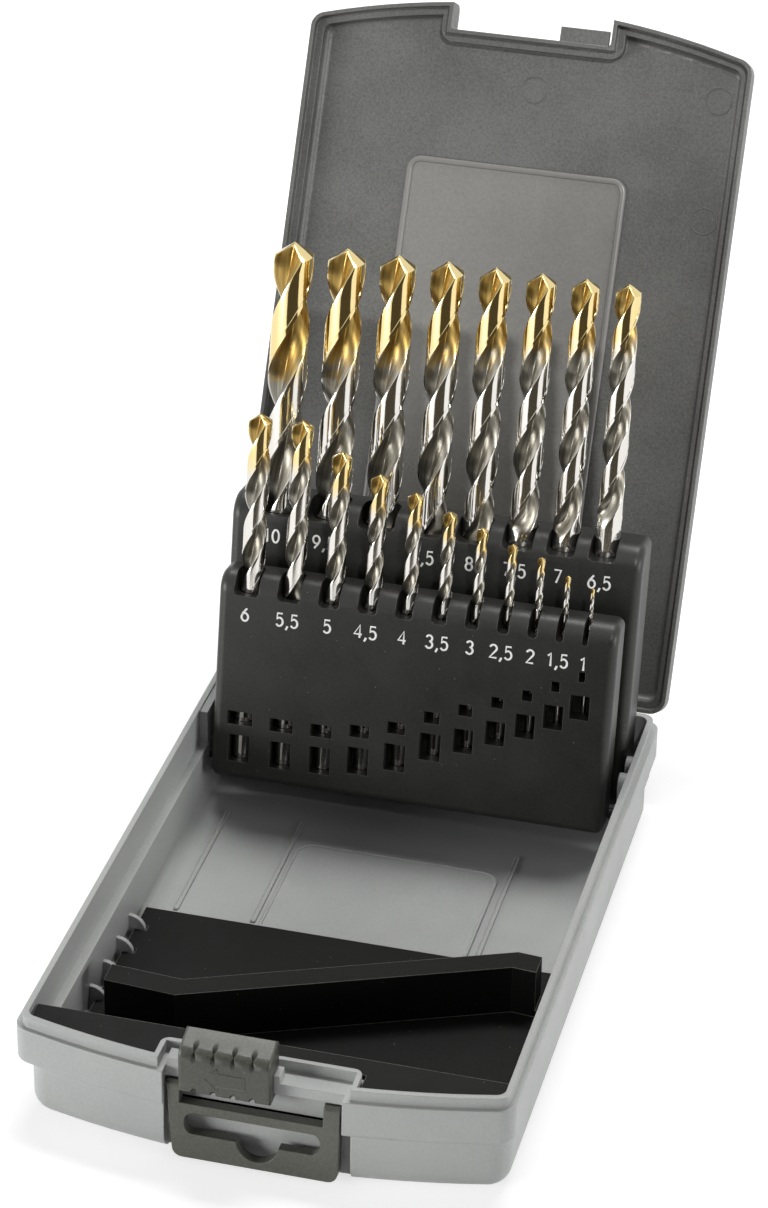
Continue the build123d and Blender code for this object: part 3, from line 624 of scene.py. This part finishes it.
def on_rack(rack, across, out, up):
    """The matrix that puts something in a rack: across and out from its drill line, and up it."""
    y, z = rack["foot"]
    lean = Matrix.Rotation(math.radians(-LEAN), 4, "X")
    return Matrix.Translation((0, y * MM, z * MM)) @ lean @ Matrix.Translation(
        (across * MM, out * MM, up * MM))


def size_name(diameter):
    """A drill's size as it stands in the names of pieces, such as 6_5."""
    return f"{diameter:.1f}".replace(".", "_")


# ---------------------------------------------------------------- twist drills

# Half of a drill's section, anticlockwise from the heel of a land: angle, radius as a share
# of the drill's, and how many degrees that point lags behind the cutting lip.
HALF_SECTION = (
    (0, 0.955, 84), (4, 0.972, 80), (14, 0.972, 70), (24, 0.972, 60), (34, 0.972, 50),
    (44, 0.972, 40), (54, 0.972, 30), (64, 0.972, 20), (72, 0.972, 12), (73.5, 1.0, 10.5),
    (79, 1.0, 5), (84, 1.0, 0), (86, 0.88, 0), (89, 0.72, 0), (94, 0.54, 0), (102, 0.38, 0),
    (112, 0.285, 15), (122, 0.245, 60), (132, 0.25, 110), (142, 0.30, 120), (151, 0.39, 113),
    (159, 0.51, 105), (166, 0.65, 98), (172, 0.79, 92), (177, 0.90, 87),
)
SECTION = HALF_SECTION + tuple((angle + 180, reach, lag) for angle, reach, lag in HALF_SECTION)
LAND_REACH = 0.95              # a point of the section with less radius lies in a flute
HELIX_PITCH = 5.7              # in diameters, a 29 degree helix
RING_STEP = 11.0               # degrees of twist from one ring of points to the next
RUN_OUT = 1.3                  # in diameters, over which a flute sinks in from the shank
SHOULDER_DROP = 0.35           # in radii, from the point's outer corners to the last ring below
STREAK_STRETCH = 0.04          # makes the grinding streaks 25 times as long as they are wide
LIP_SLOPE = math.tan(math.radians(59))
RELIEF = math.tan(math.radians(9))
TIP_TURN = 154.0               # degrees, how the points are turned in their bores
FOOT_GAP = 0.03                # millimetres of play under a drill's foot


def helix_turn(diameter, below_tip):
    """How far a drill's section has turned at a distance below its tip, in degrees."""
    return TIP_TURN - 360 * below_tip / (HELIX_PITCH * diameter)


def drill_rings(diameter, length, flute):
    """Rings of points from a drill's foot to its lips, for two right-hand flutes, raised
    margins along the lands, and a 118 degree point whose flanks fall away behind the lips.
    A point is its radius, angle and height, and how far it is in a flute, from 0 to 1."""
    radius = diameter / 2
    chamfer = min(0.4, 0.12 * diameter)
    start = length - flute
    shank_turn = helix_turn(diameter, flute)
    shank_end = start - 0.02 * diameter
    rings = []
    for z, r in ((FOOT_GAP, radius - chamfer), (chamfer, radius), (shank_end, radius)):
        rings.append([(r, angle + shank_turn, z, 0.0) for angle, _, _ in SECTION])
    shoulder = length - radius / LIP_SLOPE - SHOULDER_DROP * radius
    turns = (shoulder - start) / (HELIX_PITCH * diameter)
    steps = math.ceil(turns * 360 / RING_STEP)
    for step in range(steps + 1):
        z = start + (shoulder - start) * step / steps
        sink = min(1.0, (z - start) / (RUN_OUT * diameter))
        sink = sink * sink * (3 - 2 * sink)
        turn = helix_turn(diameter, length - z)
        ring = []
        for angle, reach, _ in SECTION:
            r = radius * (1 - sink * (1 - reach))
            ring.append((r, angle + turn, z, min(1.0, 3 * sink) if reach < LAND_REACH else 0.0))
        rings.append(ring)
    for share in (0.5, 1.0):
        ring = []
        for angle, reach, lag in SECTION:
            r = radius * reach
            top = length - r / LIP_SLOPE - RELIEF * r * math.radians(lag)
            z = shoulder + share * (top - shoulder)
            turn = helix_turn(diameter, length - z)
            ring.append((r, angle + turn, z, 1.0 if reach < LAND_REACH else 0.0))
        rings.append(ring)
    return rings


def drill_mesh(diameter, length, flute):
    """A twist drill standing on its shank, with what its steel has to know of each point."""
    # The coating goes 3.3 diameters down on the thickest drill and 2.1 on the thin ones.
    coated = diameter * max(2.1, 3.3 - 0.27 * (10 - diameter))
    shape = bmesh.new()
    tip_layer = shape.verts.layers.float.new("from_tip")
    flute_layer = shape.verts.layers.float.new("flute")
    section_layer = shape.verts.layers.float_vector.new("section")
    rows = []
    for ring in drill_rings(diameter, length, flute):
        row = []
        for r, angle, z, hollow in ring:
            turn = math.radians(angle)
            vert = shape.verts.new((r * math.cos(turn) * MM, r * math.sin(turn) * MM, z * MM))
            vert[tip_layer] = (length - z) / coated
            vert[flute_layer] = hollow
            still = math.radians(angle - helix_turn(diameter, length - z))
            vert[section_layer] = MM * Vector((
                r * math.cos(still), r * math.sin(still), STREAK_STRETCH * z))
            row.append(vert)
        rows.append(row)
    count = len(SECTION)
    for low, high in zip(rows, rows[1:]):
        for i in range(count):
            j = (i + 1) % count
            shape.faces.new((low[i], low[j], high[j], high[i]))
    apex = shape.verts.new((0, 0, length * MM))
    for i in range(count):
        shape.faces.new((rows[-1][i], rows[-1][(i + 1) % count], apex))
    shape.faces.new(list(reversed(rows[0])))
    for face in shape.faces:
        face.smooth = True
    mesh = as_mesh("drill_mesh", shape)
    mesh.set_sharp_from_angle(angle=math.radians(24))
    return mesh


def place_drills(rack, drills):
    """Stands a rack's drills in their bores, each with its number in front of it."""
    for diameter, foot, length, flute in drills:
        node = "drill_" + size_name(diameter)
        low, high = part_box(node)
        across = (low.x + high.x) / 2 / MM
        drill = put_in_scene("twist_" + node, drill_mesh(diameter, length, flute))
        drill.data.materials.append(high_speed_steel)
        drill.matrix_world = on_rack(rack, across, 0, foot)
        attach(drill, NODES[node]["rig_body"])
        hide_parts(node)
        print_number(rack, across, diameter)


# ---------------------------------------------------------------- printed sizes

# Plain drafting numerals, each stroke a line of points in a cell one unit high.
STROKES = {
    "0": [bow(0.28, 0.5, 0.25, 0.5, 90, 450)],
    "1": [[(0.04, 0.78), (0.26, 1.0), (0.26, 0.0)]],
    "2": [bow(0.28, 0.74, 0.25, 0.26, 165, -38) + [(0.03, 0.0), (0.55, 0.0)]],
    "3": [bow(0.27, 0.76, 0.22, 0.24, 160, -80) + bow(0.27, 0.27, 0.25, 0.27, 80, -160)],
    "4": [[(0.42, 0.0), (0.42, 1.0), (0.0, 0.28), (0.58, 0.28)]],
    "5": [[(0.5, 1.0), (0.12, 1.0), (0.07, 0.54)] + bow(0.27, 0.33, 0.26, 0.33, 130, -148)],
    "6": [[(0.42, 1.0), (0.14, 0.62)] + bow(0.28, 0.31, 0.25, 0.31, 155, 515)],
    "7": [[(0.02, 1.0), (0.52, 1.0), (0.2, 0.0)]],
    "8": [bow(0.28, 0.76, 0.21, 0.24, 270, 630), bow(0.28, 0.27, 0.25, 0.27, 90, 450)],
    "9": [[(0.14, 0.0), (0.42, 0.38)] + bow(0.28, 0.69, 0.25, 0.31, -25, 335)],
    ",": [[(0.11, 0.08), (0.11, -0.02), (0.0, -0.24)]],
}
# How far a sign moves the next one on, and the gap that this leaves, in heights of the cell.
ADVANCE = {"1": 0.62, ",": 0.34}
USUAL_ADVANCE = 0.78
SIGN_GAP = 0.2
DIGIT_HEIGHT = 3.4
STROKE_WIDTH = 0.55
INK_RELIEF = 0.12              # how much of half its width a stroke stands out


def print_number(rack, across, diameter):
    """Prints a drill's size on the rack as raised ink, centred below its slot. The record has
    no slot for ink, so a number names none."""
    words = f"{diameter:g}".replace(".", ",")
    at = (SIGN_GAP - sum(ADVANCE.get(sign, USUAL_ADVANCE) for sign in words)) / 2
    lines = []
    for sign in words:
        for stroke in STROKES[sign]:
            lines.append([((at + x) * DIGIT_HEIGHT, y * DIGIT_HEIGHT) for x, y in stroke])
        at += ADVANCE.get(sign, USUAL_ADVANCE)
    stand = Matrix.Rotation(math.radians(90), 4, "X")
    place = on_rack(rack, across, rack["face"], rack["numbers"]) @ stand
    number = draw_relief(
        "number_" + size_name(diameter), lines, STROKE_WIDTH, INK_RELIEF, place, white_ink,
        sides=1, closed=False)
    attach(number, rack["body"])


place_drills(LOW_RACK, LOW_DRILLS)
place_drills(TALL_RACK, TALL_DRILLS)


# ---------------------------------------------------------------- floor, light and camera

CASE_MIDDLE = Vector((0, 0.02, 0.07))
LID_MIDDLE = Vector((0.01, 0.14, 0.155))
RACKS_Y = 0.06                 # how far back the racks stand, round which the screen curves


def rays_that_see(tree):
    """Tells the rays that show a surface to the camera, straight, mirrored or through glass,
    from those that carry its light to other surfaces."""
    rays = add(tree, "ShaderNodeLightPath")
    seen = add(
        tree, "ShaderNodeMath", {0: (rays, "Is Camera Ray"), 1: (rays, "Is Glossy Ray")},
        operation="MAXIMUM",
    )
    return add(
        tree, "ShaderNodeMath", {0: (seen, "Value"), 1: (rays, "Is Transmission Ray")},
        operation="MAXIMUM",
    )


def white_table():
    """A matt white laminate table. It keeps the case's shadow, and away from the case it is
    plain white to the eye."""
    finish, tree = new_finish("white_table_laminate")
    seen = rays_that_see(tree)
    matt = add(
        tree, "ShaderNodeBsdfDiffuse", sockets={"Color": paint("#D6D6D6"), "Roughness": 0.5}
    )
    # What the eye sees of the table grows to plain white between 0.4 m and 1.6 m away.
    place = add(tree, "ShaderNodeTexCoord")
    away = add(tree, "ShaderNodeVectorMath", {0: (place, "Object")}, operation="LENGTH")
    glow_level = add(
        tree, "ShaderNodeMapRange", {"Value": (away, "Value")},
        {"From Min": 0.4, "From Max": 1.6, "To Min": 0.62, "To Max": 0.97},
    )
    lifted = add(
        tree, "ShaderNodeEmission", {"Strength": (glow_level, "Result")},
        {"Color": paint("#FFFFFF")},
    )
    nothing = add(
        tree, "ShaderNodeEmission", sockets={"Color": paint("#000000"), "Strength": 0.0}
    )
    glow = add(
        tree, "ShaderNodeMixShader",
        {0: (seen, "Value"), 1: (nothing, "Emission"), 2: (lifted, "Emission")},
    )
    both = add(tree, "ShaderNodeAddShader", {0: (matt, "BSDF"), 1: (glow, "Shader")})
    add(tree, "ShaderNodeOutputMaterial", {"Surface": (both, "Shader")})
    return finish


def lay_table():
    """The table top, one large sheet under the case."""
    shape = bmesh.new()
    bmesh.ops.create_grid(shape, x_segments=2, y_segments=2, size=6.0)
    table = put_in_scene("table_top", as_mesh("table_top", shape))
    table.data.materials.append(white_table())


def light_room():
    """A white room: plain white where it is seen or reflected, and a plain level of light."""
    world = bpy.data.worlds.new("white_room")
    bpy.context.scene.world = world
    world.use_nodes = True
    tree = world.node_tree
    tree.nodes.clear()
    white = add(
        tree, "ShaderNodeBackground", sockets={"Color": paint("#FFFFFF"), "Strength": 1.0}
    )
    soft = add(
        tree, "ShaderNodeBackground", sockets={"Color": paint("#FFFFFF"), "Strength": 0.10}
    )
    mixed = add(
        tree, "ShaderNodeMixShader",
        {0: (rays_that_see(tree), "Value"), 1: (soft, "Background"), 2: (white, "Background")},
    )
    add(tree, "ShaderNodeOutputWorld", {"Surface": (mixed, "Shader")})


def aim(lamp, target, azimuth, elevation, distance):
    """Stands a lamp off from what it looks at. Azimuth 0 is in front, 90 on the right."""
    turn = math.radians(azimuth)
    rise = math.radians(elevation)
    away = Vector((
        math.sin(turn) * math.cos(rise), -math.cos(turn) * math.cos(rise), math.sin(rise)))
    lamp.location = target + away * distance
    lamp.rotation_euler = (-away).to_track_quat("-Z", "Y").to_euler()


def softbox(name, azimuth, elevation, distance, width, height, level):
    """A flat soft light that looks at the case."""
    lamp = bpy.data.lights.new(name, "AREA")
    lamp.shape = "RECTANGLE"
    lamp.size = width
    lamp.size_y = height
    lamp.energy = level * width * height * math.pi
    aim(put_in_scene(name, lamp), CASE_MIDDLE, azimuth, elevation, distance)


def snooted_lamp(name, azimuth, elevation, distance, power):
    """A lamp with a snoot, aimed at the open lid: it draws the drills' shadows there."""
    lamp = bpy.data.lights.new(name, "SPOT")
    lamp.energy = power
    lamp.spot_size = math.radians(11)
    lamp.spot_blend = 0.8
    lamp.shadow_soft_size = 0.04
    aim(put_in_scene(name, lamp), LID_MIDDLE, azimuth, elevation, distance)


def reflected_screen(name, radius, start, end, low, high, shade):
    """A screen curved round the racks, which only shiny surfaces see. It draws the dark
    stripes on the steel."""
    shape = bmesh.new()
    columns = []
    steps = 24
    for i in range(steps + 1):
        turn = math.radians(start + (end - start) * i / steps)
        x = radius * math.sin(turn)
        y = RACKS_Y - radius * math.cos(turn)
        columns.append((shape.verts.new((x, y, low)), shape.verts.new((x, y, high))))
    for (a, b), (c, d) in zip(columns, columns[1:]):
        shape.faces.new((a, c, d, b))
    screen = put_in_scene(name, as_mesh(name, shape))
    finish, tree = new_finish(name + "_cloth")
    cloth = add(tree, "ShaderNodeEmission", sockets={"Color": paint(shade), "Strength": 1.0})
    add(tree, "ShaderNodeOutputMaterial", {"Surface": (cloth, "Emission")})
    screen.data.materials.append(finish)
    screen.visible_camera = False
    screen.visible_diffuse = False
    screen.visible_shadow = False
    screen.visible_transmission = False


def set_camera():
    """The camera in front of the case, a little to its right and looking down on it."""
    lens = bpy.data.cameras.new("bench_camera")
    lens.sensor_width = 36.0
    lens.lens = 117.25
    lens.clip_start = 0.05
    lens.clip_end = 20.0
    camera = put_in_scene("bench_camera", lens)
    right = Vector((0.968011, 0.250307, 0.017357))
    up = Vector((-0.141035, 0.485599, 0.86273))
    back = Vector((0.207518, -0.83758, 0.505368))
    facing = Matrix((right, up, back)).transposed().to_4x4()
    camera.matrix_world = Matrix.Translation((0.195493, -0.766262, 0.560873)) @ facing
    bpy.context.scene.camera = camera


lay_table()
light_room()
softbox(
    "overhead_softbox", azimuth=180, elevation=67, distance=1.4, width=0.9, height=0.3, level=17.5)
softbox("left_softbox", azimuth=-50, elevation=6, distance=1.0, width=0.5, height=0.3, level=15.5)
softbox("right_softbox", azimuth=78, elevation=9, distance=1.5, width=0.8, height=0.35, level=10.3)
snooted_lamp("key_lamp", azimuth=23, elevation=39, distance=1.7, power=70.0)
reflected_screen(
    "dark_screen", radius=0.35, start=-18, end=50, low=0.001, high=0.5, shade="#4E483C")
set_camera()
bpy.context.scene.view_settings.view_transform = "Standard"
